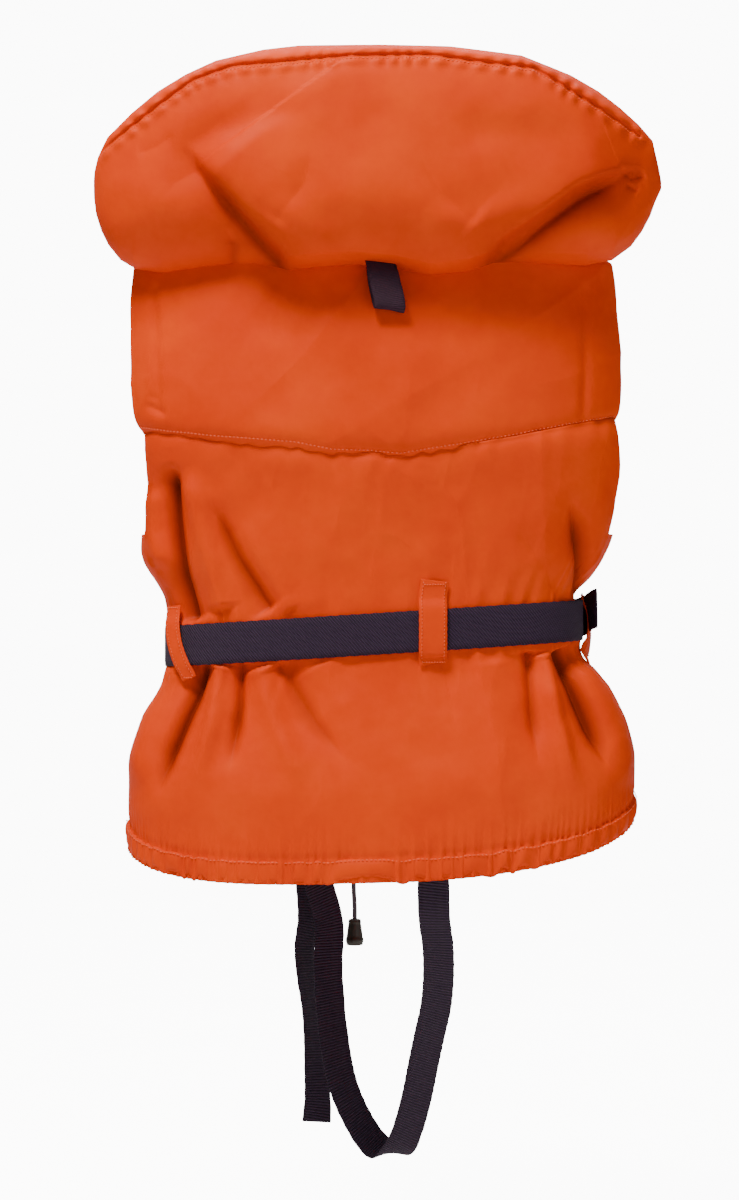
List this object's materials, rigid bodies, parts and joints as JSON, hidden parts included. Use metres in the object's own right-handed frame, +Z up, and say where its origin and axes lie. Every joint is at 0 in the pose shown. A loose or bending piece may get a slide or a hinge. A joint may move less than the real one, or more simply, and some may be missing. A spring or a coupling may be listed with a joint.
{
  "type": "life jacket",
  "caption": "Foam life jacket cut as a waistcoat, with a head-support collar, cinched waist belt, front zip, gathered hem and crotch strap.",
  "frame": {"origin": "middle of the neck opening, level with the base of the neck", "axes": "+Z up, -Y the front with the zip, +Y the back, +X the wearer's left"},
  "size_m": [0.57, 0.3493, 1.1079],
  "materials": {
    "orange_nylon": "coated woven",
    "lining": "woven",
    "loop_cloth": "woven",
    "foam": "closed-cell foam",
    "webbing": "woven",
    "cord": "braided",
    "lanyard": "twisted",
    "reflective": "beaded film",
    "black_plastic": "moulded",
    "zip_plastic": "moulded",
    "whistle_plastic": "moulded",
    "nickel": "nickel plated",
    "spring_steel": "drawn wire"
  },
  "bodies": {
    "jacket": {"yoke_cover": "orange_nylon", "back_panel": "orange_nylon", "side_panel_left": "orange_nylon", "side_panel_right": "orange_nylon", "front_cover_left": "orange_nylon", "front_cover_right": "orange_nylon", "shoulder_cover_left": "orange_nylon", "shoulder_cover_right": "orange_nylon", "hem_casing": "orange_nylon", "back_lining": "lining", "front_lining_left": "lining", "front_lining_right": "lining", "zip_tape_left": "lining", "zip_tape_right": "lining", "belt_loop_back": "loop_cloth", "belt_loop_left": "loop_cloth", "belt_loop_right": "loop_cloth", "belt_loops_front": "loop_cloth", "yoke_foam": "foam", "front_foam_left": "foam", "front_foam_right": "foam", "shoulder_foam_left": "foam", "shoulder_foam_right": "foam", "waist_belt": "webbing", "belt_tail": "webbing", "crotch_front_tab": "webbing", "crotch_back_tab": "webbing", "reflective_patches": "reflective", "buckle_socket": "black_plastic", "buckle_plug": "black_plastic", "zip_teeth_left": "zip_plastic", "zip_teeth_right": "zip_plastic", "zip_stops": "zip_plastic", "zip_box": "zip_plastic", "hem_eyelets": "nickel"},
    "collar": {"collar_back_cover": "orange_nylon", "collar_head_cover": "orange_nylon", "collar_foam": "foam"},
    "grab_loop": {"grab_loop": "webbing"},
    "zip_slider": {"zip_slider": "zip_plastic"},
    "zip_pull": {"zip_pull": "zip_plastic"},
    "buckle_arm_upper": {"buckle_arm_upper": "black_plastic"},
    "buckle_arm_lower": {"buckle_arm_lower": "black_plastic"},
    "drawcord": {"drawcord": "cord", "drawcord_bell": "black_plastic"},
    "cord_lock": {"cord_lock_body": "black_plastic", "cord_lock_spring": "spring_steel"},
    "cord_lock_plunger": {"cord_lock_plunger": "black_plastic"},
    "crotch_strap": {"crotch_strap": "webbing", "crotch_adjuster": "black_plastic"},
    "crotch_tail": {"crotch_tail": "webbing"},
    "whistle": {"whistle": "whistle_plastic", "whistle_lanyard": "lanyard"}
  },
  "joints": [
    {"name": "collar_lift", "type": "hinge", "parent": "jacket", "child": "collar", "pos_m": [0, 0.1, -0.005], "axis": [1, 0, 0], "range_deg": [0, 30]},
    {"name": "grab_loop_flip", "type": "hinge", "parent": "jacket", "child": "grab_loop", "pos_m": [-0.006, 0.123, -0.016], "axis": [1, 0, 0], "range_deg": [0, 50]},
    {"name": "zip_slide", "type": "slide", "parent": "jacket", "child": "zip_slider", "axis": [0, 0, -1], "range_m": [0, 0.412]},
    {"name": "zip_pull_flip", "type": "hinge", "parent": "zip_slider", "child": "zip_pull", "pos_m": [0, -0.1355, -0.11], "axis": [-1, 0, 0], "range_deg": [0, 165]},
    {"name": "buckle_arm_upper_press", "type": "hinge", "parent": "jacket", "child": "buckle_arm_upper", "pos_m": [-0.0038, -0.1743, -0.3465], "axis": [0, 1, 0], "range_deg": [0, 7], "stiffness_Nm_per_rad": 0.5},
    {"name": "buckle_arm_lower_press", "type": "hinge", "parent": "jacket", "child": "buckle_arm_lower", "pos_m": [-0.0038, -0.1743, -0.3755], "axis": [0, -1, 0], "range_deg": [0, 7], "stiffness_Nm_per_rad": 0.5},
    {"name": "drawcord_swing", "type": "hinge", "parent": "jacket", "child": "drawcord", "pos_m": [0.025, -0.14, -0.549], "axis": [-1, 0, 0], "range_deg": [0, 60]},
    {"name": "cord_lock_slide", "type": "slide", "parent": "drawcord", "child": "cord_lock", "axis": [0, 0, -1], "range_m": [0, 0.05]},
    {"name": "cord_lock_press", "type": "slide", "parent": "cord_lock", "child": "cord_lock_plunger", "axis": [-1, 0, 0], "range_m": [0, 0.0022], "stiffness_N_per_m": 400},
    {"name": "crotch_strap_swing", "type": "hinge", "parent": "jacket", "child": "crotch_strap", "pos_m": [-0.054, 0.118, -0.592], "axis": [0.4576, -0.889, -0.0142], "range_deg": [-30, 30]},
    {"name": "crotch_tail_swing", "type": "hinge", "parent": "crotch_strap", "child": "crotch_tail", "pos_m": [0.075, -0.139, -0.604], "axis": [-1, 0, 0], "range_deg": [0, 40]},
    {"name": "whistle_swing", "type": "hinge", "parent": "jacket", "child": "whistle", "pos_m": [0.217, -0.03, -0.397], "axis": [0, -1, 0], "range_deg": [0, 40]}
  ]
}
